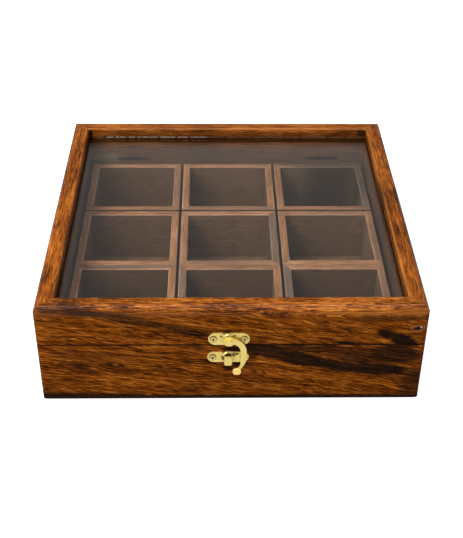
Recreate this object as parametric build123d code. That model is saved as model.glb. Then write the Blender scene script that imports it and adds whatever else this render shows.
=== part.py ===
from build123d import *
import math
import os

# A square wooden spice box: a mitred base with nine loose cups, and a mitred
# lid with a glass pane, on two brass butt hinges, shut by a swing-hook latch.
# Millimetres. X runs to the right, Y to the back and Z up. The origin is on
# the surface that the box stands on, under the middle of the box.

# Outside of the closed box
box_width = 229.0
box_depth = 229.0
base_height = 43.0
lid_height = 27.0

# Timber of the base and the lid
wall_thickness = 11.4
corner_round = 2.2
rim_outer_round = 4.2
rim_inner_round = 1.5
split_bevel = 0.4

# Board under the base
board_thickness = 3.0
board_edge_bevel = 0.8

# Glass pane and the groove that holds it
glass_thickness = 3.0
glass_below_rim = 7.2
groove_depth = 5.0
groove_headroom = 0.2
glass_edge_play = 0.3

# Nine loose cups
cup_columns = 3
cup_rows = 3
cup_wall = 4.8
cup_bottom_thickness = 2.5
cup_rim_bevel = 0.5
cup_below_split = 1.7
cup_side_play = 2.5
cup_front_play = 5.4
cup_back_play = 4.6
cup_gap_across = 1.9
cup_gap_along = 0.3
back_row_shift = 1.5

# Butt hinges
hinge_from_side = 43.5
leaf_length = 25.0
leaf_thickness = 1.0
mortise_play = 0.1
knuckle_radius = 2.0
knuckle_off_wall = 0.3
knuckle_count = 3
knuckle_play = 0.15
pin_radius = 0.8
pin_play = 0.05

# Countersunk screws of the hinges
hinge_screw_spacing = 15.0
hinge_screw_head_radius = 2.0
hinge_screw_shank_radius = 1.0
hinge_screw_length = 9.0
screw_hole_play = 0.05
screw_hole_spare = 0.5
shank_flat_count = 8

# Sheet brass of the latch
latch_offset = -1.5
latch_plate_length = 24.3
latch_plate_height = 8.7
latch_plate_above_split = 0.6
catch_shift = -0.5
catch_plate_length = 24.5
catch_plate_height = 7.7
catch_plate_below_split = 4.9
sheet_thickness = 0.8
boss_height = 1.0
boss_foot_radius = 4.2
boss_top_radius = 3.5
boss_flange = 0.2

# Bent-up tongue of the catch plate
tongue_width = 4.5
tongue_height = 6.6
tongue_gap = 2.5
tongue_corner = 1.1
tongue_neck = 2.0

# Swinging arm and its rivet
arm_thickness = 1.0
arm_play = 0.1
arm_width = 3.6
arm_head_radius = 3.5
pivot_below_middle = 0.35
arm_reach = 8.6
arm_shoulder_radius = 7.5
arm_back_drop = 11.5
arm_back_angle = 39.0
arm_crook_drop = 16.3
arm_crook_angle = 52.0
tab_drop = 21.0
tab_length = 3.7
tab_width = 4.9
tab_corner = 1.6
tab_tilt = 45.0
tab_side_gap = 0.5
rivet_radius = 1.1
rivet_play = 0.05
rivet_head_width = 4.0
rivet_head_height = 2.8
rivet_head_thickness = 1.6
rivet_head_corner = 0.9

# Round-head screws of the latch
latch_screw_spacing = 18.3
latch_screw_head_radius = 2.1
latch_screw_head_height = 0.7
latch_screw_shank_radius = 1.0
latch_screw_length = 8.0
recess_length = 2.6
recess_width = 0.6
recess_depth = 0.4

# Sizes that follow from those above
box_height = base_height + lid_height
half_width = box_width / 2
half_depth = box_depth / 2
inner_width = box_width - 2 * wall_thickness
inner_depth = box_depth - 2 * wall_thickness
wall_middle_y = half_depth - wall_thickness / 2

glass_top = box_height - glass_below_rim
glass_bottom = glass_top - glass_thickness
groove_top = glass_top + groove_headroom
pane_reach = 2 * (groove_depth - glass_edge_play)

cup_width = (inner_width - 2 * cup_side_play - (cup_columns - 1) * cup_gap_across) / cup_columns
rows_depth = inner_depth - cup_front_play - cup_back_play - back_row_shift
cup_depth = (rows_depth - (cup_rows - 1) * cup_gap_along) / cup_rows
cup_top = base_height - cup_below_split

hinge_axis_y = half_depth + knuckle_off_wall + knuckle_radius
knuckle_pitch = leaf_length / knuckle_count

latch_plate_z = base_height + latch_plate_above_split + latch_plate_height / 2
catch_plate_z = base_height - catch_plate_below_split - catch_plate_height / 2
catch_x = latch_offset + catch_shift
pivot_z = latch_plate_z - pivot_below_middle
boss_front = sheet_thickness + boss_height
arm_back = boss_front + arm_play
arm_front = arm_back + arm_thickness

export_folder = "parts"


def front_plane(proud, x=0.0, z=0.0):
    """A drawing plane in front of the box, facing forward, with X to the right and Y upward."""
    return Plane(origin=(x, -half_depth - proud, z), x_dir=(1, 0, 0), z_dir=(0, -1, 0))


def mitred_side(profile, length, thickness, corner, heading):
    """One side of a mitred frame.

    The profile's X runs inward from the outer face and its Y upward. The side
    starts at the corner, runs along the heading and is trimmed at 45 degrees.
    """
    along_x = Plane(origin=(0, 0, 0), x_dir=(0, 1, 0), z_dir=(1, 0, 0))
    bar = extrude(along_x * profile, amount=length, dir=(1, 0, 0))
    trim = make_face(
        Polyline(
            (0, 0),
            (length, 0),
            (length - thickness, thickness),
            (thickness, thickness),
            close=True,
        )
    )
    bar = bar & extrude(trim, amount=box_height, dir=(0, 0, 1))
    return Pos(corner[0], corner[1], 0) * Rot(0, 0, heading) * bar


def mitred_frame(profile, width, depth, thickness, centre=(0.0, 0.0)):
    """The four sides of a mitred frame around a centre."""
    left = centre[0] - width / 2
    right = centre[0] + width / 2
    front = centre[1] - depth / 2
    back = centre[1] + depth / 2
    return {
        "front": mitred_side(profile, width, thickness, (left, front), 0),
        "right": mitred_side(profile, depth, thickness, (right, front), 90),
        "back": mitred_side(profile, width, thickness, (right, back), 180),
        "left": mitred_side(profile, depth, thickness, (left, back), 270),
    }


def base_wall_profile():
    """Section of a base wall, bevelled a little beside the saw line."""
    return make_face(
        Polyline(
            (0, board_thickness),
            (wall_thickness, board_thickness),
            (wall_thickness, base_height),
            (split_bevel, base_height),
            (0, base_height - split_bevel),
            close=True,
        )
    )


def lid_rail_profile():
    """Section of a lid rail: a rounded rim above, and the groove for the glass inside."""
    groove_back = wall_thickness - groove_depth
    lower = Polyline(
        (0, box_height - rim_outer_round),
        (0, base_height + split_bevel),
        (split_bevel, base_height),
        (wall_thickness, base_height),
        (wall_thickness, glass_bottom),
        (groove_back, glass_bottom),
        (groove_back, groove_top),
        (wall_thickness, groove_top),
        (wall_thickness, box_height - rim_inner_round),
    )
    inner_centre = (wall_thickness - rim_inner_round, box_height - rim_inner_round)
    inner_arc = CenterArc(inner_centre, rim_inner_round, 0, 90)
    top = Line((wall_thickness - rim_inner_round, box_height), (rim_outer_round, box_height))
    outer_centre = (rim_outer_round, box_height - rim_outer_round)
    outer_arc = CenterArc(outer_centre, rim_outer_round, 90, 90)
    return make_face(lower + inner_arc + top + outer_arc)


def cup_wall_profile():
    """Section of a cup wall, with a bevelled rim."""
    foot = board_thickness + cup_bottom_thickness
    return make_face(
        Polyline(
            (0, foot),
            (cup_wall, foot),
            (cup_wall, cup_top - cup_rim_bevel),
            (cup_wall - cup_rim_bevel, cup_top),
            (cup_rim_bevel, cup_top),
            (0, cup_top - cup_rim_bevel),
            close=True,
        )
    )


def shank_bar(radius, length):
    """A bar with flat sides along Z, which stands for the thread of a screw."""
    return extrude(RegularPolygon(radius, shank_flat_count), amount=length / 2, both=True)


def screw_shank(radius, length):
    """The shank of a screw, downward from the origin."""
    return Pos(0, 0, -length / 2) * shank_bar(radius, length)


def screw_hole(radius, length):
    """The hole that a shank goes into, from a little above the origin down past its end."""
    top = screw_hole_spare
    bottom = -length - screw_hole_spare
    return Pos(0, 0, (top + bottom) / 2) * shank_bar(radius + screw_hole_play, top - bottom)


def hinge_screw():
    """A countersunk screw, its head flush with the origin."""
    cone_depth = hinge_screw_head_radius - hinge_screw_shank_radius
    cone = Cone(hinge_screw_shank_radius, hinge_screw_head_radius, cone_depth)
    shank = screw_shank(hinge_screw_shank_radius, hinge_screw_length)
    return Pos(0, 0, -cone_depth / 2) * cone + shank


def hinge_screw_hole():
    """The countersunk hole of a hinge screw, through the leaf and into the timber."""
    cone_depth = hinge_screw_head_radius - hinge_screw_shank_radius
    low = hinge_screw_shank_radius + screw_hole_play
    high = hinge_screw_head_radius + screw_hole_play
    cone = Pos(0, 0, -cone_depth / 2) * Cone(low, high, cone_depth)
    return cone + screw_hole(hinge_screw_shank_radius, hinge_screw_length)


def latch_screw():
    """A flat-topped screw with a cross recess, the back of its head at the origin."""
    rise = latch_screw_head_height
    head = Pos(0, 0, rise / 2) * Cylinder(latch_screw_head_radius, rise)
    recess = Box(recess_length, recess_width, recess_depth)
    recess += Box(recess_width, recess_length, recess_depth)
    head -= Pos(0, 0, rise - recess_depth / 2) * recess
    return head + screw_shank(latch_screw_shank_radius, latch_screw_length)


def latch_screw_hole():
    """The hole of a latch screw, through the plate and into the timber."""
    return screw_hole(latch_screw_shank_radius, latch_screw_length)


def facing_front(x, z, proud):
    """Turns a screw that points down into one that points into the front of the box."""
    return Pos(x, -half_depth - proud, z) * Rot(90, 0, 0)


def hinge_centres():
    """The middles of the two hinges along the back."""
    offset = half_width - hinge_from_side
    return {"left": -offset, "right": offset}


def hinge_screw_places(turn):
    """Places of the four screws of one kind of leaf, pointing down or up from the saw line."""
    places = []
    for centre in hinge_centres().values():
        for side in (-1, 1):
            x = centre + side * hinge_screw_spacing / 2
            places.append(Pos(x, wall_middle_y, base_height) * Rot(turn, 0, 0))
    return places


def latch_screw_xs(middle):
    """The two screws of a plate, left and right of its middle."""
    return [middle - latch_screw_spacing / 2, middle + latch_screw_spacing / 2]


def hinge_leaf(centre, below, own_knuckles):
    """One leaf of a butt hinge, let into the timber on its side of the saw line."""
    level = base_height - leaf_thickness / 2 if below else base_height + leaf_thickness / 2
    leaf = Pos(centre, wall_middle_y, level) * Box(leaf_length, wall_thickness, leaf_thickness)
    knuckle_length = knuckle_pitch - knuckle_play
    web_depth = hinge_axis_y - half_depth
    for number in own_knuckles:
        x = centre - leaf_length / 2 + (number + 0.5) * knuckle_pitch
        barrel = Pos(x, hinge_axis_y, base_height) * Rot(0, 90, 0)
        web = Box(knuckle_length, web_depth, leaf_thickness)
        leaf += barrel * Cylinder(knuckle_radius, knuckle_length)
        leaf += Pos(x, half_depth + web_depth / 2, level) * web
    bore = Cylinder(pin_radius + pin_play, leaf_length)
    leaf -= Pos(centre, hinge_axis_y, base_height) * Rot(0, 90, 0) * bore
    return leaf


def mortise(centre, below):
    """The seat of a hinge leaf in the timber."""
    level = base_height - leaf_thickness / 2 if below else base_height + leaf_thickness / 2
    seat = Box(leaf_length + 2 * mortise_play, wall_thickness, leaf_thickness)
    return Pos(centre, wall_middle_y, level) * seat


def plate_outline(length, height):
    """A brass plate with round ends, swelling in the middle where the boss is wider than the plate."""
    return SlotOverall(length, height) + Circle(boss_foot_radius + boss_flange)


def boss():
    """The round raised middle of a latch plate, standing on the sheet."""
    cone = Cone(boss_foot_radius, boss_top_radius, boss_height)
    return Pos(0, 0, boss_height / 2) * cone


def latch_plate():
    """The plate on the lid, raised in the middle under the arm."""
    plate = extrude(plate_outline(latch_plate_length, latch_plate_height), amount=sheet_thickness)
    plate += Pos(0, 0, sheet_thickness) * boss()
    plate = front_plane(0, latch_offset, latch_plate_z) * plate
    for x in latch_screw_xs(latch_offset):
        plate -= facing_front(x, latch_plate_z, sheet_thickness) * latch_screw_hole()
    return plate - rivet_stem(rivet_play)


def catch_plate():
    """The plate on the base, with a tongue bent forward and up on a neck at its lower edge."""
    plate = extrude(plate_outline(catch_plate_length, catch_plate_height), amount=sheet_thickness)
    plate += Pos(0, 0, sheet_thickness) * boss()
    lip_back = sheet_thickness + tongue_gap
    lip_front = lip_back + sheet_thickness
    floor = -catch_plate_height / 2
    neck = Box(tongue_neck, sheet_thickness, lip_front)
    neck = Pos(0, floor + sheet_thickness / 2, lip_front / 2) * neck
    lip = extrude(RectangleRounded(tongue_width, tongue_height, tongue_corner), amount=sheet_thickness)
    lip = Pos(0, floor + tongue_height / 2, lip_back) * lip
    plate += neck + lip
    plate = front_plane(0, catch_x, catch_plate_z) * plate
    for x in latch_screw_xs(catch_x):
        plate -= facing_front(x, catch_plate_z, sheet_thickness) * latch_screw_hole()
    return plate


def rivet_stem(play=0.0):
    """The stem of the pivot rivet, from the timber to the front of the arm."""
    stem = Cylinder(rivet_radius + play, arm_front + arm_play)
    return front_plane((arm_front + arm_play) / 2, latch_offset, pivot_z) * stem


def latch_rivet():
    """The rivet that the arm turns on, with an oblong head rounded at the corners."""
    outline = RectangleRounded(rivet_head_width, rivet_head_height, rivet_head_corner)
    head = extrude(outline, amount=rivet_head_thickness)
    return rivet_stem() + front_plane(arm_front + arm_play, latch_offset, pivot_z) * head


def bend_down(x, drop, turn):
    """An arc that leaves an upright edge at a drop below the pivot and turns left down to the tab."""
    radius = (tab_drop - drop) / math.sin(math.radians(turn))
    return CenterArc((x - radius, -drop), radius, -turn, turn)


def arm_outline():
    """The flat of the latch arm, drawn around its pivot.

    A band leaves the round head to the right and bends down over the
    shoulder. Its back and its crook then curve to the left by themselves, so
    that it narrows to where the tab is bent.
    """
    half = arm_width / 2
    shoulder = (arm_reach - arm_shoulder_radius, -arm_shoulder_radius)
    back_x = arm_reach + half
    crook_x = arm_reach - half
    over = CenterArc(shoulder, arm_shoulder_radius + half, 0, 90)
    back = Line((back_x, -arm_shoulder_radius), (back_x, -arm_back_drop))
    back_bend = bend_down(back_x, arm_back_drop, arm_back_angle)
    crook_bend = bend_down(crook_x, arm_crook_drop, arm_crook_angle)
    crook = Line((crook_x, -arm_crook_drop), (crook_x, -arm_shoulder_radius))
    under = CenterArc(shoulder, arm_shoulder_radius - half, 0, 90)
    fold = Line(back_bend @ 0, crook_bend @ 0)
    neck = Polyline(under @ 1, (0, -half), (0, half), over @ 1)
    band = make_face(over + back + back_bend + fold + crook_bend + crook + under + neck)
    return band + Circle(arm_head_radius)


def finger_tab():
    """The tab at the arm's end, bent forward from the arm's flat, for a fingertip."""
    tilt = math.radians(tab_tilt)
    bend_z = pivot_z - tab_drop
    bend_y = -half_depth - arm_back - arm_thickness / 2
    tab_x = catch_x + tongue_width / 2 + tab_side_gap + tab_width / 2
    slope = Plane(
        origin=(tab_x, bend_y, bend_z),
        x_dir=(1, 0, 0),
        z_dir=(0, -math.cos(tilt), math.sin(tilt)),
    )
    tab = extrude(RectangleRounded(tab_width, tab_length, tab_corner), amount=arm_thickness / 2, both=True)
    fold = Rot(0, 90, 0) * Cylinder(arm_thickness / 2, tab_width - 2 * tab_corner)
    fold_corner = Pos(tab_corner / 2, 0, 0) * fold
    return slope * (Pos(0, -tab_length / 2, 0) * tab + fold_corner)


def latch_arm():
    """The swinging arm of the latch."""
    flat = front_plane(arm_back, latch_offset, pivot_z) * arm_outline()
    arm = extrude(flat, amount=arm_thickness, dir=(0, -1, 0)) + finger_tab()
    return arm - rivet_stem(rivet_play)


def write(name, *solids):
    """Writes one node, as a single solid or as a group of separate ones."""
    shape = solids[0] if len(solids) == 1 else Compound(children=list(solids))
    export_step(shape, os.path.join(export_folder, name + ".step"))


def write_base():
    """The base: four walls on a board, its hinge leaves and pins, and the catch plate."""
    plan = extrude(RectangleRounded(box_width, box_depth, corner_round), amount=box_height)
    walls = mitred_frame(base_wall_profile(), box_width, box_depth, wall_thickness)
    walls = {side: wall & plan for side, wall in walls.items()}
    hinge_places = hinge_screw_places(0)
    latch_places = [facing_front(x, catch_plate_z, sheet_thickness) for x in latch_screw_xs(catch_x)]
    for centre in hinge_centres().values():
        walls["back"] -= mortise(centre, below=True)
    for place in hinge_places:
        walls["back"] -= place * hinge_screw_hole()
    for place in latch_places:
        walls["front"] -= place * latch_screw_hole()
    for side, wall in walls.items():
        write(f"base_{side}_wall", wall)

    board = extrude(RectangleRounded(box_width, box_depth, corner_round), amount=board_thickness)
    board = chamfer(board.faces().sort_by(Axis.Z)[0].edges(), board_edge_bevel)
    write("bottom_board", board)

    pin = Cylinder(pin_radius, leaf_length)
    for side, centre in hinge_centres().items():
        leaf = hinge_leaf(centre, below=True, own_knuckles=range(0, knuckle_count, 2))
        for place in hinge_places:
            leaf -= place * hinge_screw_hole()
        write(f"hinge_{side}_base_leaf", leaf)
        write(f"hinge_{side}_pin", Pos(centre, hinge_axis_y, base_height) * Rot(0, 90, 0) * pin)
    write("hinge_base_screws", *[place * hinge_screw() for place in hinge_places])

    write("catch_plate", catch_plate())
    write("catch_plate_screws", *[place * latch_screw() for place in latch_places])


def write_lid():
    """The lid: four grooved rails round a pane, its hinge leaves, and the latch plate."""
    plan = extrude(RectangleRounded(box_width, box_depth, corner_round), amount=box_height)
    rails = mitred_frame(lid_rail_profile(), box_width, box_depth, wall_thickness)
    rails = {side: rail & plan for side, rail in rails.items()}
    hinge_places = hinge_screw_places(180)
    latch_places = [facing_front(x, latch_plate_z, sheet_thickness) for x in latch_screw_xs(latch_offset)]
    for centre in hinge_centres().values():
        rails["back"] -= mortise(centre, below=False)
    for place in hinge_places:
        rails["back"] -= place * hinge_screw_hole()
    for place in latch_places:
        rails["front"] -= place * latch_screw_hole()
    for side, rail in rails.items():
        write(f"lid_{side}_rail", rail)

    pane = Box(inner_width + pane_reach, inner_depth + pane_reach, glass_thickness)
    write("glass_pane", Pos(0, 0, glass_bottom + glass_thickness / 2) * pane)

    for side, centre in hinge_centres().items():
        leaf = hinge_leaf(centre, below=False, own_knuckles=range(1, knuckle_count, 2))
        for place in hinge_places:
            leaf -= place * hinge_screw_hole()
        write(f"hinge_{side}_lid_leaf", leaf)
    write("hinge_lid_screws", *[place * hinge_screw() for place in hinge_places])

    write("latch_plate", latch_plate())
    write("latch_plate_screws", *[place * latch_screw() for place in latch_places])
    write("latch_rivet", latch_rivet())


def write_cups():
    """Nine equal loose cups, the back row pushed back. Rows count from the front, columns from the left."""
    profile = cup_wall_profile()
    first_y = -inner_depth / 2 + cup_front_play + cup_depth / 2
    for row in range(cup_rows):
        y = first_y + row * (cup_depth + cup_gap_along)
        if row == cup_rows - 1:
            y += back_row_shift
        for column in range(cup_columns):
            x = (column - (cup_columns - 1) / 2) * (cup_width + cup_gap_across)
            walls = mitred_frame(profile, cup_width, cup_depth, cup_wall, (x, y))
            bottom = Box(cup_width, cup_depth, cup_bottom_thickness)
            name = f"cup_r{row + 1}c{column + 1}"
            write(name + "_front_back_walls", walls["front"], walls["back"])
            write(name + "_side_walls", walls["left"], walls["right"])
            write(name + "_bottom", Pos(x, y, board_thickness + cup_bottom_thickness / 2) * bottom)


os.makedirs(export_folder, exist_ok=True)
write_base()
write_lid()
write("latch_arm", latch_arm())
write_cups()
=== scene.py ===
"""The looks of a nine-cup wooden spice box with a glass lid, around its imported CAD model.

Each material is mixed from noise and from marks at named places, in millimetres in the box's own frame.
A fade is what Net.between takes: where it starts and ends, and the values there, 0 and 1 if not given.
A mark is what Net.spot takes: centre, half length, half width, slope in degrees, core and strength.
"""

import math

import bpy
from mathutils import Matrix, Vector

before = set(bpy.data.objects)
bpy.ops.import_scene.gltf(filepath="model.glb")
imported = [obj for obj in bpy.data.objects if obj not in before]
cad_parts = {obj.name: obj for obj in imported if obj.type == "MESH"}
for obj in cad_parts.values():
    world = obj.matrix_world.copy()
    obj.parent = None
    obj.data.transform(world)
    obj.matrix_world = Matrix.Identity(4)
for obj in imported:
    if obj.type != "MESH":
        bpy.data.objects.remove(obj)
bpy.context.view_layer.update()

# The camera, fitted to the photograph's perspective: pixels, sensor in millimetres, metres and angles.
PHOTO_WIDTH, PHOTO_HEIGHT = 463, 538
FOCAL_PIXELS = 1024.455
SENSOR_MM = 36.0
EYE = Vector((-0.009738, -0.577252, 0.430130))
YAW, PITCH, ROLL = math.radians(1.15), math.radians(35.68), math.radians(0.56)
NEAREST, FARTHEST = 0.01, 50.0

MM_PER_METRE = 1000.0

# Places on the box, in millimetres, as the CAD has them. Depths in front of the middle are below zero.
SPLIT_HEIGHT = 43.0
INNER_FACE = 103.1
PANE_TOP = 62.8
RIM_HEIGHT = 70.0
BOSS_FACE = -116.3
SCREW_RECESS = -115.8
FINGER_BEND = 26.6
CUP_TOP = 41.3

# The cups' mean spacing along x and y, and how far the gaps between their rows are from the middle.
CUP_PITCH_X, CUP_PITCH_Y = 67.7, 65.8
ROW_GAP = CUP_PITCH_Y / 2

# Wood tones, dark to light, as linear colours.
CASE_TONES = (
    (0.00, (0.012, 0.0040, 0.0010)),
    (0.22, (0.060, 0.0140, 0.0010)),
    (0.48, (0.190, 0.0455, 0.0026)),
    (0.70, (0.365, 0.1010, 0.0110)),
    (1.00, (0.580, 0.2100, 0.0360)),
)
CUP_TONES = (
    (0.00, (0.050, 0.020, 0.010)),
    (0.35, (0.120, 0.050, 0.022)),
    (0.65, (0.190, 0.082, 0.038)),
    (1.00, (0.300, 0.150, 0.080)),
)
BOARD_TONES = (
    (0.00, (0.006, 0.003, 0.001)),
    (0.50, (0.018, 0.008, 0.003)),
    (1.00, (0.050, 0.020, 0.006)),
)

# A tint of the case's fibres by its pores, from redder to more olive.
HUE_STOPS = ((0.38, (1.0, 0.92, 0.50)), (0.62, (0.92, 1.0, 1.0)))

# Colours of marks on the wood.
# The black of knots, and of the latch's painted shadows.
KNOT_AND_SHADOW_BLACK = (0.006, 0.004, 0.003, 1.0)
KNOT_HALO = (0.330, 0.160, 0.075, 1.0)
# Painted shade inside the case and the cups.
PAINTED_SHADE = (0.014, 0.006, 0.002, 1.0)
# Greyer sticks of the cups.
GREY_STAIN = (0.060, 0.046, 0.038, 1.0)
# Painted shade of the inner walls: grey, darker on the right wall and lighter on the left.
INNER_SHADE_GREY = (0.066, 0.048, 0.037, 1.0)
INNER_SHADE_RIGHT = (0.032, 0.025, 0.020, 1.0)
INNER_SHADE_LEFT = (0.090, 0.068, 0.054, 1.0)
# A pale spot on the back wall.
INNER_PALE = (0.170, 0.135, 0.105, 1.0)
# A painted highlight on the rim's inner edge.
EDGE_HIGHLIGHT_COLOUR = (0.560, 0.220, 0.045, 1.0)
# A painted highlight on the cups' rims.
CUP_RIM_HIGHLIGHT = (0.420, 0.230, 0.130, 1.0)
# Painted glints along the pane's back edge and in a knot.
PAINTED_GLINT = (0.85, 0.82, 0.80, 1.0)
# Painted shade at the hinges.
HINGE_SHADE = (0.020, 0.022, 0.026, 1.0)

# Colours of painted shade on the metal: on the finger tab, and in hollows, creases and recesses.
# Painted shade on the finger tab.
TAB_SHADE = (0.66, 0.46, 0.14, 1.0)
# Painted shade in hollows, creases and recesses.
METAL_SHADE = (0.050, 0.028, 0.014, 1.0)


class Net:
    """One material's node tree, with a short call for each kind of node."""

    def __init__(self, name):
        self.material = bpy.data.materials.new(name)
        self.material.use_nodes = True
        self.tree = self.material.node_tree
        self.tree.nodes.clear()
        self.point = None

    def node(self, kind, inputs=(), **settings):
        made = self.tree.nodes.new(kind)
        for key, value in settings.items():
            setattr(made, key, value)
        for key, value in inputs:
            self.put(made.inputs[key], value)
        return made

    def put(self, socket, value):
        if isinstance(value, bpy.types.NodeSocket):
            self.tree.links.new(value, socket)
        else:
            socket.default_value = value

    def math(self, operation, a, b=0.0, c=0.0):
        return self.node("ShaderNodeMath", ((0, a), (1, b), (2, c)), operation=operation).outputs[0]

    def add(self, *terms):
        total = terms[0]
        for term in terms[1:]:
            total = self.math("ADD", total, term)
        return total

    def times(self, a, b):
        return self.math("MULTIPLY", a, b)

    def most(self, terms):
        """The largest of some values."""
        largest = None
        for term in terms:
            largest = term if largest is None else self.math("MAXIMUM", largest, term)
        return largest

    def centred(self, value):
        """A value from 0 to 1, moved to lie from -0.5 to 0.5."""
        return self.math("SUBTRACT", value, 0.5)

    def off(self, value, place):
        """How far value is from place."""
        return self.math("ABSOLUTE", self.math("SUBTRACT", value, place))

    def combine(self, x, y, z):
        return self.node("ShaderNodeCombineXYZ", ((0, x), (1, y), (2, z))).outputs[0]

    def mm(self):
        """The point of the surface in the box's own frame, in millimetres: x, y and z."""
        if self.point is None:
            metres = self.node("ShaderNodeTexCoord").outputs["Object"]
            inputs = ((0, metres), (3, MM_PER_METRE))
            scaled = self.node("ShaderNodeVectorMath", inputs, operation="SCALE").outputs["Vector"]
            self.point = tuple(self.node("ShaderNodeSeparateXYZ", ((0, scaled),)).outputs)
        return self.point

    def scaled(self, x_scale, y_scale, z_scale):
        """The point in millimetres, times a scale along each axis."""
        x, y, z = self.mm()
        return self.combine(self.times(x, x_scale), self.times(y, y_scale), self.times(z, z_scale))

    def noise(self, vector, detail, rough=0.5, distortion=0.0):
        inputs = (("Vector", vector), ("Scale", 1.0), ("Detail", detail),
                  ("Roughness", rough), ("Distortion", distortion))
        return self.node("ShaderNodeTexNoise", inputs).outputs["Fac"]

    def line_noise(self, value, scale, detail, rough=0.5):
        inputs = (("W", value), ("Scale", scale), ("Detail", detail), ("Roughness", rough))
        return self.node("ShaderNodeTexNoise", inputs, noise_dimensions="1D").outputs["Fac"]

    def between(self, value, start, end, at_start=0.0, at_end=1.0):
        """A smooth fade: at_start where value is start or before it, at_end where it is end or past it."""
        inputs = ((0, value), (1, start), (2, end), (3, at_start), (4, at_end))
        settings = {"interpolation_type": "SMOOTHSTEP", "clamp": True}
        return self.node("ShaderNodeMapRange", inputs, **settings).outputs[0]

    def ramp(self, factor, stops):
        made = self.node("ShaderNodeValToRGB", ((0, factor),))
        elements = made.color_ramp.elements
        while len(elements) < len(stops):
            elements.new(0.5)
        for element, (position, colour) in zip(elements, stops):
            element.position = position
            element.color = (*colour, 1.0)
        return made.outputs["Color"]

    def mix(self, factor, a, b, blend="MIX"):
        made = self.node("ShaderNodeMix", data_type="RGBA", blend_type=blend)
        self.put(made.inputs[0], factor)
        self.put(made.inputs[6], a)
        self.put(made.inputs[7], b)
        return made.outputs[2]

    def bump(self, height, distance, strength):
        inputs = (("Height", height), ("Distance", distance), ("Strength", strength))
        return self.node("ShaderNodeBump", inputs).outputs[0]

    def spot(self, vector, centre, half_length, half_width, slope, core, strength):
        """A soft ellipse in the plane of x and z: strength within core of its size, and 0 outside it."""
        inputs = ((0, vector), (1, (centre[0], 0.0, centre[1])), (2, (0.0, -math.radians(slope), 0.0)),
                  (3, (half_length, 1.0, half_width)))
        local = self.node("ShaderNodeMapping", inputs, vector_type="TEXTURE").outputs[0]
        radius = self.node("ShaderNodeVectorMath", ((0, local),), operation="LENGTH").outputs["Value"]
        return self.between(radius, 1.0, core, 0.0, strength)

    def finish(self, shader):
        self.node("ShaderNodeOutputMaterial", ((0, shader),))
        return self.material


# Sizes of the grain's layers in millimetres, along the grain and across it, and the growth bands' scale.
SWING_SIZE, PORE_SIZE, PATCH_SIZE = (130.0, 40.0), (3.2, 0.42), (34.0, 8.0)
BAND_SCALE = 0.34

# How far one step of a wood's seed moves its noise along the grain, and its growth bands outwards.
SEED_SHIFT, SEED_RADIUS = 37.0, 11.0


def grain(net, along, across, height, pith, tilt, seed, sway, streak, fibre):
    """Five layers of wood figure, from 0 to 1: growth bands, streaks, fibres, patches and pores.

    The bands lie round a pith line at pith, across and in height. It leans by tilt, and swings by sway.
    streak and fibre are the sizes of those layers.
    """
    u = net.math("ADD", along, seed * SEED_SHIFT)

    def stretched(size, **settings):
        length, width = size
        point = net.combine(net.times(u, 1.0 / length), net.times(across, 1.0 / width),
                            net.times(height, 1.0 / width))
        return net.noise(point, **settings)

    swing = net.times(net.centred(stretched(SWING_SIZE, detail=2.0)), sway)
    side = net.add(across, -pith[0], net.times(along, -tilt[0]), swing)
    depth = net.add(height, -pith[1], net.times(along, -tilt[1]))
    radius = net.math("SQRT", net.add(net.times(side, side), net.times(depth, depth)))
    bands = net.line_noise(net.add(radius, seed * SEED_RADIUS), scale=BAND_SCALE, detail=6.0, rough=0.70)
    streaks = stretched(streak, detail=4.0, rough=0.68, distortion=0.12)
    fibres = stretched(fibre, detail=2.0, rough=0.60, distortion=0.08)
    pores = stretched(PORE_SIZE, detail=1.0)
    patches = stretched(PATCH_SIZE, detail=3.0, rough=0.55)
    return bands, streaks, fibres, patches, pores


# How steeply the front board's grain falls to the right, over the height, down to level on the rim. Then the
# scales of the noise that makes the grain wander, and how far it wanders.
SLOPE_FADE = (64.0, 69.0, 0.17, 0.0)
WARP_SCALES, WANDER = (0.03, 0.0, 0.10), 5.0


def front_height(net):
    """The height that the front board's grain follows."""
    x, _, z = net.mm()
    warp = net.noise(net.scaled(*WARP_SCALES), detail=3.0, rough=0.6)
    return net.add(z, net.times(x, net.between(z, *SLOPE_FADE)), net.times(net.centred(warp), WANDER))


# The front rail's rounding is paler by a painted highlight, over its height and towards the right, and its
# grain is stronger.
ROUNDING_FOOT, ROUNDING_TOP = (64.4, 66.0), (69.6, 68.4)
ROUNDING_HIGHLIGHT = (10.0, 60.0, 0.0, 0.12)
RIM_CONTRAST = (64.0, 68.0, 1.0, 1.15)


def rounding_highlight(net):
    """How much paler the front rail's rounding is, as a painted highlight."""
    x, _, z = net.mm()
    rounding = net.times(net.between(z, *ROUNDING_FOOT), net.between(z, *ROUNDING_TOP))
    return net.times(rounding, net.between(x, *ROUNDING_HIGHLIGHT))
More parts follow.
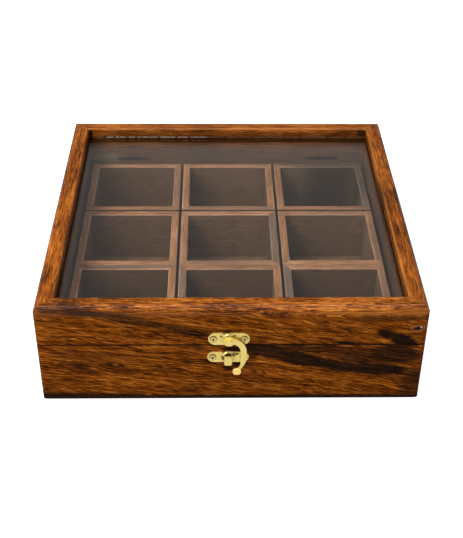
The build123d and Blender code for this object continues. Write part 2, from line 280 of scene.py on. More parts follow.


# Dark marks of the front board, and painted shadows of the latch on it.
FRONT_MARKS = (
    ((-104.0, 68.0), 11.0, 2.6, -4, 0.35, 0.72),
    ((-86.0, 66.8), 24.0, 3.8, -9, 0.40, 0.80),
    ((-56.0, 61.0), 31.0, 4.8, -12, 0.45, 0.80),
    ((-27.0, 53.4), 23.0, 4.6, -17, 0.45, 0.72),
    ((91.5, 50.6), 8.5, 4.4, -25, 0.55, 0.96),
    ((101.0, 46.0), 10.5, 5.0, -20, 0.65, 0.99),
    ((107.0, 43.4), 5.0, 2.6, -20, 0.50, 0.95),
    ((67.5, 44.0), 8.8, 1.7, -3, 0.40, 0.98),
    ((80.0, 43.1), 12.0, 0.9, -4, 0.30, 0.92),
    ((98.0, 41.0), 14.0, 1.6, -7, 0.35, 0.95),
    ((97.0, 35.0), 21.0, 9.5, -4, 0.55, 0.86),
    ((79.0, 32.0), 24.0, 6.5, -6, 0.35, 0.82),
    ((62.0, 37.0), 30.0, 6.8, -8, 0.45, 0.66),
    ((40.0, 40.0), 26.0, 5.2, -3, 0.40, 0.74),
    ((80.0, 34.0), 46.0, 11.0, -6, 0.45, 0.30),
    ((90.0, 62.2), 34.0, 3.4, 1, 0.45, 0.62),
    ((22.0, 38.0), 20.0, 6.6, -13, 0.60, 0.92),
    ((40.0, 32.4), 22.0, 6.8, -15, 0.60, 0.96),
    ((62.0, 26.8), 24.0, 5.4, -10, 0.55, 0.95),
    ((86.0, 23.8), 25.0, 5.8, -3, 0.60, 0.97),
    ((108.6, 55.1), 3.8, 1.5, 7, 0.50, 0.99),
    ((69.3, 52.8), 3.4, 1.4, -13, 0.20, 0.85),
    ((53.9, 56.8), 8.0, 2.6, -24, 0.10, 0.55),
    ((13.7, 22.5), 3.2, 1.7, -33, 0.20, 0.80),
    ((19.6, 21.3), 2.9, 1.5, -62, 0.20, 0.70),
    ((-86.0, 34.0), 34.0, 9.0, -8, 0.30, 0.36),
    ((111.0, 12.0), 12.0, 17.0, 0, 0.40, 0.70),
    # Painted shadows of the latch: below the arm's shoulder, under and right of the catch's tongue, right of
    # the arm, and above the upper plate.
    ((1.2, 39.9), 8.0, 2.6, 0, 0.60, 0.95),
    ((-2.1, 25.2), 4.6, 2.6, 0, 0.50, 0.88),
    ((3.0, 28.6), 3.2, 2.2, -10, 0.50, 0.90),
    ((13.0, 37.5), 5.5, 6.5, 0, 0.30, 0.68),
    ((-2.0, 53.4), 11.5, 1.5, 0, 0.35, 0.55),
    # More knots and dark trails.
    ((-90.0, 27.0), 9.0, 3.0, -12, 0.25, 0.75),
    ((-84.0, 21.8), 11.0, 2.8, -14, 0.20, 0.75),
    ((-72.5, 28.6), 4.2, 1.7, -11, 0.30, 0.90),
    ((-65.8, 27.3), 3.6, 1.8, -25, 0.30, 0.88),
    ((-42.6, 26.2), 3.0, 1.3, -10, 0.25, 0.80),
    ((-33.0, 24.8), 7.5, 1.3, -8, 0.30, 0.92),
    ((-25.8, 29.3), 7.0, 1.8, -8, 0.25, 0.75),
    ((-20.5, 43.6), 4.8, 2.0, -18, 0.20, 0.75),
    ((-18.8, 40.0), 4.0, 1.8, -11, 0.20, 0.75),
)

# The pale ring round the eye-shaped knot on the right, and a painted glint in it.
KNOT_RING = ((108.8, 55.0), 5.2, 2.9, 7, 0.75, 0.28)
KNOT_GLINT = ((110.4, 55.7), 0.85, 0.75, 0, 0.30, 0.62)

# How far the outlines of broad marks, of marks thinner than THIN_MARK and of the dark foot stray, in
# millimetres of height; how much farther sideways; and the scales of the noise that makes them stray.
BROAD_STRAY, THIN_STRAY, FOOT_STRAY = 4.0, 1.6, 4.0
THIN_MARK = 2.2
SIDEWAYS = 1.6
EDGE_SCALES = (0.25, 0.0, 0.8)

# The dark foot: along the front, the heights where it ends and where it is darkest; and how dark it is.
FOOT_TOP = (-80.0, -40.0, 6.8, 4.4)
FOOT_CORE = (-80.0, -40.0, 4.2, 2.6)
FOOT_DARKNESS = 0.94

# Over the streaks, how much of the dark marks shows.
STREAKED_DARK = (0.35, 0.75, 1.0, 0.90)


def front_marks(net, colour, streaks):
    """Adds the front board's knots, dark trails, the latch's painted shadows and dark foot.
    Gives the colour, and how dark they are.
    """
    x, _, z = net.mm()
    push = net.centred(net.noise(net.scaled(*EDGE_SCALES), detail=5.0, rough=0.7))
    broad, thin = [net.combine(net.math("MULTIPLY_ADD", push, stray * SIDEWAYS, x), 0.0,
                               net.math("MULTIPLY_ADD", push, stray, z))
                   for stray in (BROAD_STRAY, THIN_STRAY)]
    colour = net.mix(net.spot(thin, *KNOT_RING), colour, KNOT_HALO)
    dark = net.most(net.spot(broad if mark[2] > THIN_MARK else thin, *mark) for mark in FRONT_MARKS)
    foot = net.between(net.math("MULTIPLY_ADD", push, FOOT_STRAY, z),
                       net.between(x, *FOOT_TOP), net.between(x, *FOOT_CORE), 0.0, FOOT_DARKNESS)
    dark = net.math("MAXIMUM", dark, foot)
    colour = net.mix(net.times(dark, net.between(streaks, *STREAKED_DARK)), colour, KNOT_AND_SHADOW_BLACK)
    # A painted glint in the eye-shaped knot.
    colour = net.mix(net.spot(net.combine(x, 0.0, z), *KNOT_GLINT), colour, PAINTED_GLINT)
    return colour, dark


# The outside of the case, over the distance from the middle along x or y, whichever is more. Then the seam,
# over the distance from the split.
OUTSIDE = (INNER_FACE + 0.3, INNER_FACE + 1.2)
SEAM = (0.8, 0.35, 0.0, 0.8)

# Painted shade on the inner faces, over the height: grey below the foot of the dark shade, dark at the pane
# and up the rail, and how much of the dark shade shows below its foot and above it.
SHADE_FOOT = 56.7
INNER_WALL = (SHADE_FOOT + 0.5, SHADE_FOOT - 0.5, 0.0, 0.8)
PANE_SHADE = (PANE_TOP + 1.0, PANE_TOP - 0.5, 0.0, 0.96)
RAIL_SHADE = (RIM_HEIGHT, PANE_TOP, 0.0, 0.62)
SHADE_RISE = (SHADE_FOOT - 0.5, SHADE_FOOT + 0.5, 0.12, 1.0)

# The painted shade is deeper in the corners at the ends of the front and back rails: along x, and over the
# height.
CORNERS = ((94.0, 99.0, 0.0, 0.9), (-99.0, -101.0, 0.0, 0.9))
CORNER_FOOT, CORNER_TOP = (PANE_TOP - 3.0, PANE_TOP), (69.8, 68.0)

# A painted highlight on the inner edge of the rim: over the distance from the middle, the height and the
# fibres.
EDGE_HIGHLIGHT_REACH, EDGE_HIGHLIGHT_HEIGHT = (INNER_FACE + 1.1, INNER_FACE + 0.5), (69.0, 69.6)
EDGE_HIGHLIGHT_FIBRES = (0.35, 0.55, 0.5, 1.0)


def case_marks(net, colour, fibres, kind, inside, edge_highlight):
    """Adds the seam between base and lid, painted shade on the case's inner faces and a painted highlight on
    the rim's inner edge.
    """
    x, y, z = net.mm()
    reach = net.math("MAXIMUM", net.math("ABSOLUTE", x), net.math("ABSOLUTE", y))
    outer = net.between(reach, *OUTSIDE)
    inner = net.math("SUBTRACT", 1.0, outer)
    seam = net.between(net.off(z, SPLIT_HEIGHT), *SEAM)
    colour = net.mix(net.times(seam, outer), colour, KNOT_AND_SHADOW_BLACK)
    # Painted shade: grey on the inner walls, then dark at the pane, up the rail and in the corners.
    colour = net.mix(net.times(net.between(z, *INNER_WALL), inner), colour, inside)
    dark_shade = net.math("MAXIMUM", net.between(z, *PANE_SHADE), net.between(z, *RAIL_SHADE))
    dark_shade = net.times(dark_shade, net.between(z, *SHADE_RISE))
    if kind != "side":
        ends = net.most(net.between(x, *corner) for corner in CORNERS)
        ends = net.times(ends, net.between(z, *CORNER_FOOT))
        dark_shade = net.math("MAXIMUM", dark_shade, net.times(ends, net.between(z, *CORNER_TOP)))
    colour = net.mix(net.times(dark_shade, inner), colour, PAINTED_SHADE)
    if kind == "back":
        colour = back_marks(net, colour, inner)
    # A painted highlight on the rim's inner edge.
    edge_light = net.times(net.between(reach, *EDGE_HIGHLIGHT_REACH), net.between(z, *EDGE_HIGHLIGHT_HEIGHT, 0.0, edge_highlight))
    return net.mix(net.times(edge_light, net.between(fibres, *EDGE_HIGHLIGHT_FIBRES)), colour, EDGE_HIGHLIGHT_COLOUR)


# Painted glints in dashes along the back edge of the glass. The scale and the values of the noise that parts
# them, the height of their line, the middle of their bright stretch, and the fades away from both.
GLINT_DASH_SCALE, GLINT_DASHES = 0.30, (0.40, 0.48)
GLINT_HEIGHT, GLINT_LINE = PANE_TOP + 0.2, (0.30, 0.14)
BRIGHT_PLACE, BRIGHT_STRETCH = -54.0, (42.0, 34.0, 0.18, 0.9)

# A pale spot low on the back wall, and the right-hand one of the two painted shade marks at the hinges.
PALE_SPOT = ((-90.0, 43.5), 16.0, 5.0, 0, 0.4, 0.5)
HINGE_SHADE_SPOT = ((71.0, SPLIT_HEIGHT + 0.3), 11.5, 1.9, 0, 0.6, 0.85)


def back_marks(net, colour, inner):
    """Adds what shows on the inner face of the back: painted glints in dashes, a pale spot, and painted
    shade at the hinges.
    """
    x, _, z = net.mm()
    # Painted glints in dashes along the pane's back edge.
    dash_mask = net.between(net.line_noise(x, scale=GLINT_DASH_SCALE, detail=1.0), *GLINT_DASHES)
    bright = net.between(net.off(x, BRIGHT_PLACE), *BRIGHT_STRETCH)
    line = net.times(net.between(net.off(z, GLINT_HEIGHT), *GLINT_LINE), inner)
    colour = net.mix(net.times(line, net.times(dash_mask, bright)), colour, PAINTED_GLINT)
    pale = net.spot(net.combine(x, 0.0, z), *PALE_SPOT)
    colour = net.mix(net.times(pale, inner), colour, INNER_PALE)
    # Painted shade at both hinges.
    hinge_spot = net.spot(net.combine(net.math("ABSOLUTE", x), 0.0, z), *HINGE_SHADE_SPOT)
    return net.mix(net.times(hinge_spot, inner), colour, HINGE_SHADE)


# Greyer sticks of the cups, seen from above: centre, half width along x and y, and how grey.
ALONG_STICKS = (
    ((30.5, -0.4), 3.4, 42.0, 0.75),
    ((37.2, -65.4), 3.4, 42.0, 0.80),
    ((-30.5, -65.4), 3.4, 42.0, 0.60),
    ((-37.2, 66.2), 3.4, 42.0, 0.40),
    ((-98.2, 33.0), 3.6, 90.0, 0.35),
    ((98.2, 66.2), 3.6, 42.0, 0.85),
    ((98.2, -40.0), 3.6, 70.0, 0.35),
)
ACROSS_STICKS = (
    ((67.7, 96.2), 42.0, 3.6, 0.80),
    ((0.0, 36.2), 42.0, 3.4, 0.35),
    ((-67.7, -35.3), 42.0, 2.4, 0.55),
    ((0.0, -30.3), 42.0, 3.4, 0.35),
    ((67.7, 29.6), 42.0, 3.0, 0.25),
)
STICK_CORE = 0.8

# A painted highlight on the cups' rim edges, over the height and the fibres.
RIM_HIGHLIGHT_FADE = (CUP_TOP - 0.05, CUP_TOP - 0.25, 0.0, 0.55)
RIM_HIGHLIGHT_FIBRES = (0.35, 0.60, 0.4, 1.0)

# The shade in the cups: over the height, and over y, as it is deeper in the front row. Then the shade at the
# far right, seen from above, and how much deeper that is inside the cups.
BELOW_RIM = (CUP_TOP - 0.55, CUP_TOP - 1.1)
ROW_SHADE = (-30.0, -36.0, 0.68, 0.76)
FAR_CORNER = ((78.0, 76.0), 48.0, 46.0, 0, 0.4, 0.55)
FAR_DEEPER = 1.7

# The shade between the rows: over the distance from the back and the front gap, and over the height.
BACK_GAP, FRONT_GAP = (1.5, 1.2), (0.9, 0.5, 0.0, 0.6)
GAP_HEIGHT = (CUP_TOP - 0.15, CUP_TOP - 0.4, 0.0, 0.92)


def cup_marks(net, colour, fibres, sticks):
    """Adds the cups' greyer sticks, a painted highlight on their rims, and painted shade inside and between
    them.
    """
    x, y, z = net.mm()
    from_above = net.combine(x, 0.0, y)
    for centre, half_x, half_y, strength in sticks:
        stick = net.spot(from_above, centre, half_x, half_y, 0, STICK_CORE, strength)
        colour = net.mix(stick, colour, GREY_STAIN)
    # A painted highlight on the cups' rim edges.
    rim_light = net.times(net.between(z, *RIM_HIGHLIGHT_FADE), net.between(fibres, *RIM_HIGHLIGHT_FIBRES))
    colour = net.mix(rim_light, colour, CUP_RIM_HIGHLIGHT)
    # Painted shade inside the cups, at the far right and between the rows.
    below_rim = net.between(z, *BELOW_RIM)
    shade = net.times(below_rim, net.between(y, *ROW_SHADE))
    far = net.spot(from_above, *FAR_CORNER)
    far_inside = net.times(net.times(far, FAR_DEEPER), below_rim)
    gaps = net.math("MAXIMUM", net.between(net.off(y, ROW_GAP), *BACK_GAP),
                    net.between(net.off(y, -ROW_GAP), *FRONT_GAP))
    gaps = net.times(gaps, net.between(z, *GAP_HEIGHT))
    return net.mix(net.most((shade, gaps, far, far_inside)), colour, PAINTED_SHADE)


# How many spacings a row of three cups reaches from the middle, what a column and a row add to a cup's
# number, and how far along the grain each 1 in that number moves, in millimetres.
HALF_THREE = 1.5
COLUMN_STEP, ROW_STEP, NUMBER_SHIFT = 7.3, 19.1, 23.0


def cup_along(net, along):
    """The place along the grain, moved on from cup to cup so that no two cups look alike."""
    x, y, _ = net.mm()

    def count(place, pitch):
        return net.math("FLOOR", net.math("DIVIDE", net.math("ADD", place, HALF_THREE * pitch), pitch))

    column, row = count(x, CUP_PITCH_X), count(y, CUP_PITCH_Y)
    number = net.add(net.times(column, COLUMN_STEP), net.times(row, ROW_STEP))
    return net.add(along, net.times(number, NUMBER_SHIFT))


# How much of the tone comes from growth bands, streaks, fibres, patches and pores.
CASE_SHARES = (0.50, 0.65, 1.30, 0.75, 0.70)
FRONT_SHARES = (0.65, 0.90, 1.75, 0.45, 0.85)
CUP_SHARES = (0.70, 0.90, 1.30, 0.70, 0.20)
MIDDLE_TONE = 0.5

# How far the ends of paler and darker stretches stray with the patches, in millimetres, the share of a
# stretch that has its full tone, and the height over which stretches set in on the front board.
GLOW_STRAY, GLOW_CORE = 40.0, 0.25
GLOW_HEIGHT = (50.0, 66.0)

# Open pores, over the values of the pore layer, and how much they darken the tone.
OPEN_PORES, PORE_SHADE = (0.60, 0.70), 0.12

# Relief of fibres and open pores, and the bump's distance in metres and strength.
FIBRE_RELIEF, PORE_RELIEF = 0.6, 0.9
WOOD_BUMP = (0.00010, 0.45)

# The streaks' values at the dullest and the glossiest, how much roughness each gains or loses there, and how
# much the front's dark marks add.
STREAK_GLOSS, STREAK_DULLER, STREAK_GLOSSIER = (0.2, 0.8), 0.06, 0.04
DARK_DULLER = 0.06

# The varnish's coat on the rails, over the height, and its roughness.
COAT, COAT_ROUGHNESS = (63.0, 67.0, 0.0, 0.3), 0.25


def wood(name, axis, tones, kind="plain", pith=(0.0, -60.0), tilt=(0.0, 0.0), seed=0.0, lift=0.0,
         sway=8.0, streak=(24.0, 1.3), fibre=(10.0, 0.55), shares=CASE_SHARES, glows=(), sticks=(),
         inside=INNER_SHADE_GREY, edge_highlight=0.35, roughness=0.42, specular=0.04):
    """Varnished wood with its grain along axis X or Y.

    kind is front, back or side for the case's boards, cup for the cups, or plain. lift is how much paler the
    tone is, shares how much of it each layer of the grain gives, and glows where it is paler or darker.
    """
    net = Net(name)
    x, y, z = net.mm()
    front = kind == "front"
    case = kind in ("front", "back", "side")
    along, across = (x, y) if axis == "X" else (y, x)
    if kind == "cup":
        along = cup_along(net, along)
    height = front_height(net) if front else z
    layers = grain(net, along, across, height, pith, tilt, seed, sway, streak, fibre)
    bands, streaks, fibres, patches, pores = layers
    figure = net.add(*(net.times(net.centred(layer), share) for layer, share in zip(layers, shares)))
    glow = 0.0
    for centre, half_length, amount in glows:
        place = net.math("MULTIPLY_ADD", net.centred(patches), GLOW_STRAY, along)
        glow = net.math("ADD", glow, net.between(net.off(place, centre), half_length,
                                                 GLOW_CORE * half_length, 0.0, amount))
    if front:
        figure = net.times(figure, net.between(z, *RIM_CONTRAST))
        # The rounding gets a painted highlight.
        glow = net.add(net.times(glow, net.between(z, *GLOW_HEIGHT)), rounding_highlight(net))
    open_pores = net.between(pores, *OPEN_PORES)
    tone = net.add(figure, glow, MIDDLE_TONE + lift, net.times(open_pores, -PORE_SHADE))
    colour = net.ramp(tone, tones)
    rough = net.between(streaks, *STREAK_GLOSS, roughness + STREAK_DULLER, roughness - STREAK_GLOSSIER)
    coat = 0.0
    if case:
        colour = net.mix(1.0, colour, net.ramp(pores, HUE_STOPS), blend="MULTIPLY")
    if front:
        colour, dark = front_marks(net, colour, streaks)
        rough = net.math("MULTIPLY_ADD", dark, DARK_DULLER, rough)
    if case:
        colour = case_marks(net, colour, fibres, kind, inside, edge_highlight)
        coat = net.between(z, *COAT)
    if kind == "cup":
        colour = cup_marks(net, colour, fibres, sticks)
    relief = net.math("SUBTRACT", net.times(fibres, FIBRE_RELIEF), net.times(open_pores, PORE_RELIEF))
    shader = net.node("ShaderNodeBsdfPrincipled", (
        ("Base Color", colour), ("Roughness", rough), ("Normal", net.bump(relief, *WOOD_BUMP)),
        ("Coat Weight", coat), ("Coat Roughness", COAT_ROUGHNESS), ("Specular IOR Level", specular),
    ))
    return net.finish(shader.outputs[0])


# Painted shade and shadow in the hollows and creases of the latch, round its screws and over bright spots on
# its
# bosses, seen from the front: centre, half width, half height, and strength.
LATCH_SHADE_SPOTS = (
    ((-2.0, 36.6), 2.4, 1.7, 0.92),
    ((2.1, 36.5), 2.4, 1.5, 0.72),
    ((3.6, 36.8), 0.9, 0.8, 0.90),
    ((-2.1, 32.6), 3.2, 4.2, 0.55),
    ((-5.0, 34.2), 1.2, 1.9, 0.85),
    ((-4.6, 46.7), 0.7, 2.4, 0.80),
    ((-3.6, 38.3), 2.8, 1.5, 0.70),
    ((-2.8, 51.9), 2.8, 1.4, 0.70),
    ((-1.4, 50.3), 3.0, 1.1, 0.70),
    ((1.6, 50.4), 1.4, 1.0, 0.60),
    ((-6.1, 49.9), 0.9, 1.2, 0.75),
    ((-10.65, 47.95), 2.5, 2.5, 0.75),
    ((7.65, 47.95), 2.5, 2.5, 0.75),
    ((-11.15, 34.25), 2.5, 2.5, 0.75),
)
SCREW_SHADE_SPOTS = (
    ((-10.65, 47.85), 0.9, 0.9, 0.75),
    ((7.65, 47.85), 0.9, 0.9, 0.75),
    ((-11.15, 34.15), 0.9, 0.9, 0.75),
    ((7.15, 34.15), 0.9, 0.9, 0.75),
)

# The cores of the painted shade spots and of the clean discs on the screws, the fade of the spots' painted
# shade over the box's depth, and that of the painted shade round a clean disc.
SHADE_SPOT_CORE, DISC_CORE = 0.7, 0.75
SHADE_SPOT_DEPTH = (BOSS_FACE - 0.3, BOSS_FACE - 0.1)
ROUND_DISC = (1.0, 0.0, 0.0, 0.6)

# How far, in millimetres, the fades of painted shade at low_face, shade_face and tip reach, and how dark the
# painted shade of the first two is.
LOW_REACH, LEAF_SHADE_REACH, TIP_REACH = 0.1, 0.6, 0.6
RECESS_SHADE, LEAF_SHADE = 0.85, 0.9

# Scales of the metal's clouds and of its brush marks along x, y and z, and the clouds' values at the deeper
# and at the paler colour.
CLOUD_SCALES, BRUSH_SCALES = (0.35, 0.35, 0.35), (0.8, 0.8, 9.0)
CLOUD_DEEP, CLOUD_PALE = 0.30, 0.62

# The clouds' values at the dullest and the glossiest, how much roughness each gains or loses there, and how
# much brush marks add.
CLOUD_GLOSS, CLOUD_DULLER, CLOUD_GLOSSIER = (0.3, 0.7), 0.07, 0.03
BRUSH_DULLER = 0.05

# Relief of the clouds, and the bump's distance in metres and strength.
CLOUD_RELIEF = 0.5
METAL_BUMP = (0.00008, 0.35)


def brass(name, tone, deep, roughness, brushed, hollows=(), disc=None, low_face=None, shade_face=None,
          tip=None):
    """Polished or satin brass with faint handling marks, its colour between tone and deep.

    brushed is the relief of its brush marks. Painted shade darkens it in its hollows, round clean discs of
    radius disc on them, behind low_face or in front of shade_face, both along the box's depth. Below the
    height tip painted shade darkens it.
    """
    net = Net(name)
    x, y, z = net.mm()
    cloud = net.noise(net.scaled(*CLOUD_SCALES), detail=4.0)
    brush = net.noise(net.scaled(*BRUSH_SCALES), detail=3.0)
    colour = net.ramp(cloud, ((CLOUD_DEEP, deep), (CLOUD_PALE, tone)))
    # Painted shade in hollows, creases and recesses, and on the hinge leaves inside the box.
    metal_shades = []
    if hollows:
        from_front = net.combine(x, 0.0, z)
        depths = net.most(net.spot(from_front, centre, half_width, half_height, 0, SHADE_SPOT_CORE, strength)
                          for centre, half_width, half_height, strength in hollows)
        metal_shades.append(net.times(depths, net.between(y, *SHADE_SPOT_DEPTH)))
        if disc is not None:
            discs = net.most(net.spot(from_front, centre, disc, disc, 0, DISC_CORE, 1.0)
                             for centre, *_ in hollows)
            metal_shades.append(net.between(discs, *ROUND_DISC))
    if low_face is not None:
        # Painted shade in the screws' recesses.
        metal_shades.append(net.between(y, low_face - LOW_REACH, low_face + LOW_REACH, 0.0, RECESS_SHADE))
    if shade_face is not None:
        # Painted shade on the hinge leaves inside the box.
        metal_shades.append(net.between(y, shade_face + LEAF_SHADE_REACH, shade_face, 0.0, LEAF_SHADE))
    if tip is not None:
        # Painted shade on the finger tab.
        colour = net.mix(net.between(z, tip + TIP_REACH, tip - TIP_REACH), colour, TAB_SHADE)
    if metal_shades:
        colour = net.mix(net.most(metal_shades), colour, METAL_SHADE)
    rough = net.between(cloud, *CLOUD_GLOSS, roughness + CLOUD_DULLER, roughness - CLOUD_GLOSSIER)
    rough = net.add(rough, net.times(brush, BRUSH_DULLER))
    relief = net.add(net.times(cloud, CLOUD_RELIEF), net.times(brush, brushed))
    shader = net.node("ShaderNodeBsdfPrincipled", (
        ("Base Color", colour), ("Metallic", 1.0), ("Roughness", rough),
        ("Normal", net.bump(relief, *METAL_BUMP)),
    ))
    return net.finish(shader.outputs[0])


# The tint of the glass and of the lamps' light that goes through it, its roughness and its refractive index.
GLASS_TINT, GLASS_SHADOW = (0.94, 0.975, 0.96, 1.0), (0.88, 0.90, 0.89, 1.0)
GLASS_ROUGHNESS, GLASS_IOR = 0.02, 1.45


def pane():
    """Clear float glass, which lets the lamps' light through to the cups."""
    net = Net("pane_glass")
    glass = net.node("ShaderNodeBsdfPrincipled", (
        ("Base Color", GLASS_TINT), ("Roughness", GLASS_ROUGHNESS), ("IOR", GLASS_IOR),
        ("Transmission Weight", 1.0),
    ))
    clear = net.node("ShaderNodeBsdfTransparent", (("Color", GLASS_SHADOW),))
    shadow = net.node("ShaderNodeLightPath").outputs["Is Shadow Ray"]
    both = net.node("ShaderNodeMixShader", ((0, shadow), (1, glass.outputs[0]), (2, clear.outputs[0])))
    return net.finish(both.outputs[0])


def dress(materials):
    """Gives each CAD node the first material whose word is in the node's name."""
    for name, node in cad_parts.items():
        for word, material in materials:
            if word in name:
                node.data.materials.clear()
                node.data.materials.append(material)
                break
        else:
            raise RuntimeError(f"no material for {name}")


# Paler and darker stretches of the boards, in millimetres along each: centre, half length, change of tone.
FRONT_GLOWS = ((72.0, 46.0, 0.16), (-85.0, 26.0, -0.04), (-36.0, 30.0, 0.10))
LEFT_GLOWS = ((-2.0, 16.0, 0.07), (-45.0, 26.0, 0.05), (-90.0, 22.0, -0.05))
RIGHT_GLOWS = ((52.0, 34.0, 0.04), (0.0, 22.0, -0.13), (-40.0, 24.0, -0.08), (-90.0, 20.0, 0.07))
BACK_GLOWS = ((-90.0, 20.0, 0.16), (60.0, 45.0, 0.06), (-20.0, 25.0, -0.04))

# What both sides of the case have in common, and what the cups' walls do.
SIDE_LOOK = {"kind": "side", "sway": 4.0, "streak": (24.0, 1.0)}
CUP_LOOK = {"kind": "cup", "shares": CUP_SHARES, "streak": (16.0, 1.0), "fibre": (7.0, 0.42), "lift": 0.06,
            "roughness": 0.5}

FRONT = wood("case_front", "X", CASE_TONES, kind="front", pith=(-40.0, -30.0), tilt=(0.0, 0.05), seed=1.0,
             lift=-0.06, streak=(22.0, 0.80), shares=FRONT_SHARES, glows=FRONT_GLOWS, specular=0.015)
BACK = wood("case_back", "X", CASE_TONES, kind="back", pith=(150.0, 20.0), tilt=(0.02, 0.0), seed=2.0,
            streak=(24.0, 1.0), glows=BACK_GLOWS)
LEFT = wood("case_left", "Y", CASE_TONES, pith=(-150.0, 40.0), tilt=(0.02, 0.01), seed=3.0,
            glows=LEFT_GLOWS, inside=INNER_SHADE_LEFT, edge_highlight=0.0, **SIDE_LOOK)
RIGHT = wood("case_right", "Y", CASE_TONES, pith=(150.0, 30.0), tilt=(-0.02, 0.01), seed=4.0,
             glows=RIGHT_GLOWS, inside=INNER_SHADE_RIGHT, **SIDE_LOOK)
CUP_ACROSS = wood("cup_across", "X", CUP_TONES, seed=5.0, sticks=ACROSS_STICKS, **CUP_LOOK)
CUP_ALONG = wood("cup_along", "Y", CUP_TONES, seed=6.0, sticks=ALONG_STICKS, **CUP_LOOK)
CUP_FLOOR = wood("cup_floor", "X", CUP_TONES, kind="cup", seed=7.0, lift=-0.1, roughness=0.55)
BOARD = wood("board", "X", BOARD_TONES, seed=8.0, roughness=0.5)
LATCH_BRASS = brass("latch_brass", (1.0, 0.82, 0.29), (0.95, 0.72, 0.20), 0.42, 0.3, hollows=LATCH_SHADE_SPOTS,
                    tip=FINGER_BEND)
SCREW_BRASS = brass("screw_brass", (1.0, 0.80, 0.30), (0.93, 0.70, 0.21), 0.34, 0.3, hollows=SCREW_SHADE_SPOTS,
                    disc=1.95, low_face=SCREW_RECESS)
HINGE_SCREW = brass("hinge_screw", (0.70, 0.52, 0.24), (0.50, 0.36, 0.15), 0.30, 0.5)
HINGE_BRASS = brass("hinge_brass", (0.42, 0.30, 0.13), (0.22, 0.15, 0.06), 0.34, 0.6, shade_face=INNER_FACE)

dress((
    ("base_front_wall", FRONT), ("lid_front_rail", FRONT),
    ("base_back_wall", BACK), ("lid_back_rail", BACK),
    ("base_left_wall", LEFT), ("lid_left_rail", LEFT),
    ("base_right_wall", RIGHT), ("lid_right_rail", RIGHT),
    ("_front_back_walls", CUP_ACROSS), ("_side_walls", CUP_ALONG), ("_bottom", CUP_FLOOR),
    ("bottom_board", BOARD), ("glass_pane", pane()),
    ("hinge_base_screws", HINGE_SCREW), ("hinge_lid_screws", HINGE_SCREW), ("hinge", HINGE_BRASS),
    ("plate_screws", SCREW_BRASS), ("latch", LATCH_BRASS), ("catch", LATCH_BRASS),
))

# The floor: half its side in metres, its looks to the camera, and its colour for the light that it reflects.
FLOOR_HALF = 6.0
FLOOR_COLOUR, FLOOR_ROUGHNESS, FLOOR_GLOW = (0.9, 0.9, 0.9, 1.0), 0.9, 0.62
FLOOR_DIM = (0.52, 0.52, 0.52, 1.0)
WHITE = (1.0, 1.0, 1.0, 1.0)

# Light from all sides: its colour and strength, and the strength of the backdrop that the camera sees.
SKY_COLOUR, SKY_STRENGTH, BACKDROP_STRENGTH = (1.0, 0.99, 0.98, 1.0), 0.28, 1.0

# Softboxes: name, place and aim in metres, width and depth in metres, and power in watts.
SOFTBOXES = (
    ("softbox_left", (-0.8, -0.5, 1.3), (0.0, 0.0, 0.0), 0.65, 0.65, 27.0),
    ("softbox_top", (0.1, 0.2, 1.5), (0.0, 0.0, 0.0), 1.0, 1.0, 9.0),
    ("softbox_front", (0.25, -1.1, 1.2), (0.0, 0.0, 0.03), 0.8, 0.6, 3.0),
)


def make_floor():
    mesh = bpy.data.meshes.new("floor")
    corners = [(-FLOOR_HALF, -FLOOR_HALF, 0.0), (FLOOR_HALF, -FLOOR_HALF, 0.0),
               (FLOOR_HALF, FLOOR_HALF, 0.0), (-FLOOR_HALF, FLOOR_HALF, 0.0)]
    mesh.from_pydata(corners, [], [(0, 1, 2, 3)])
    floor = bpy.data.objects.new("floor", mesh)
    bpy.context.scene.collection.objects.link(floor)
    net = Net("floor_white")
    seen = net.node("ShaderNodeBsdfPrincipled", (
        ("Base Color", FLOOR_COLOUR), ("Roughness", FLOOR_ROUGHNESS), ("Specular IOR Level", 0.0),
        ("Emission Color", WHITE), ("Emission Strength", FLOOR_GLOW),
    ))
    dim = net.node("ShaderNodeBsdfDiffuse", (("Color", FLOOR_DIM),))
    camera = net.node("ShaderNodeLightPath").outputs["Is Camera Ray"]
    shader = net.node("ShaderNodeMixShader", ((0, camera), (1, dim.outputs[0]), (2, seen.outputs[0])))
    mesh.materials.append(net.finish(shader.outputs[0]))


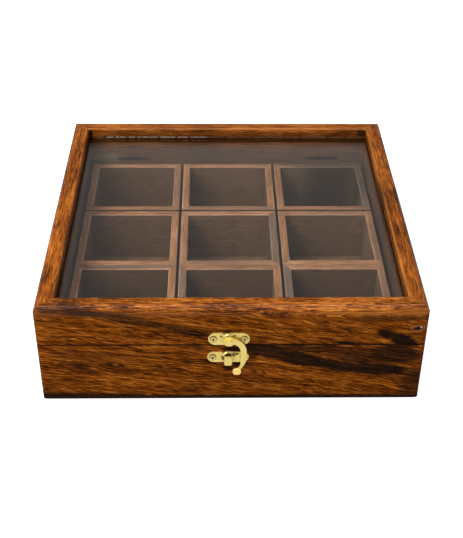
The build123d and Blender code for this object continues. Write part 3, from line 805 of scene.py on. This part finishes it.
def make_world():
    """Even light from all sides, and a white backdrop where the camera looks past the floor."""
    world = bpy.data.worlds.new("studio")
    bpy.context.scene.world = world
    world.use_nodes = True
    tree = world.node_tree
    tree.nodes.clear()
    new = tree.nodes.new
    path, mix, out = new("ShaderNodeLightPath"), new("ShaderNodeMixShader"), new("ShaderNodeOutputWorld")
    light, backdrop = new("ShaderNodeBackground"), new("ShaderNodeBackground")
    light.inputs["Color"].default_value = SKY_COLOUR
    light.inputs["Strength"].default_value = SKY_STRENGTH
    backdrop.inputs["Strength"].default_value = BACKDROP_STRENGTH
    tree.links.new(path.outputs["Is Camera Ray"], mix.inputs[0])
    tree.links.new(light.outputs[0], mix.inputs[1])
    tree.links.new(backdrop.outputs[0], mix.inputs[2])
    tree.links.new(mix.outputs[0], out.inputs[0])


def make_softbox(name, place, aim, width, depth, power):
    data = bpy.data.lights.new(name, "AREA")
    data.shape = "RECTANGLE"
    data.size, data.size_y = width, depth
    data.energy = power
    lamp = bpy.data.objects.new(name, data)
    bpy.context.scene.collection.objects.link(lamp)
    lamp.location = place
    lamp.rotation_mode = "QUATERNION"
    lamp.rotation_quaternion = (Vector(aim) - Vector(place)).to_track_quat("-Z", "Y")


def make_camera():
    """The camera at the photograph's angle, turned by yaw, pitch and roll."""
    forward = Vector((math.sin(YAW) * math.cos(PITCH), math.cos(YAW) * math.cos(PITCH), -math.sin(PITCH)))
    right = Vector((math.cos(YAW), -math.sin(YAW), 0.0))
    up = right.cross(forward)
    rolled_right = math.cos(ROLL) * right + math.sin(ROLL) * up
    rolled_up = -math.sin(ROLL) * right + math.cos(ROLL) * up
    data = bpy.data.cameras.new("camera")
    data.sensor_width = SENSOR_MM
    data.sensor_fit = "AUTO"
    data.lens = FOCAL_PIXELS / max(PHOTO_WIDTH, PHOTO_HEIGHT) * SENSOR_MM
    data.clip_start, data.clip_end = NEAREST, FARTHEST
    camera = bpy.data.objects.new("camera", data)
    bpy.context.scene.collection.objects.link(camera)
    turn = Matrix((rolled_right, rolled_up, -forward)).transposed().to_4x4()
    camera.matrix_world = Matrix.Translation(EYE) @ turn
    bpy.context.scene.camera = camera


make_floor()
make_world()
for softbox in SOFTBOXES:
    make_softbox(*softbox)
make_camera()

settings = bpy.context.scene.view_settings
settings.view_transform = "Standard"
settings.look = "None"
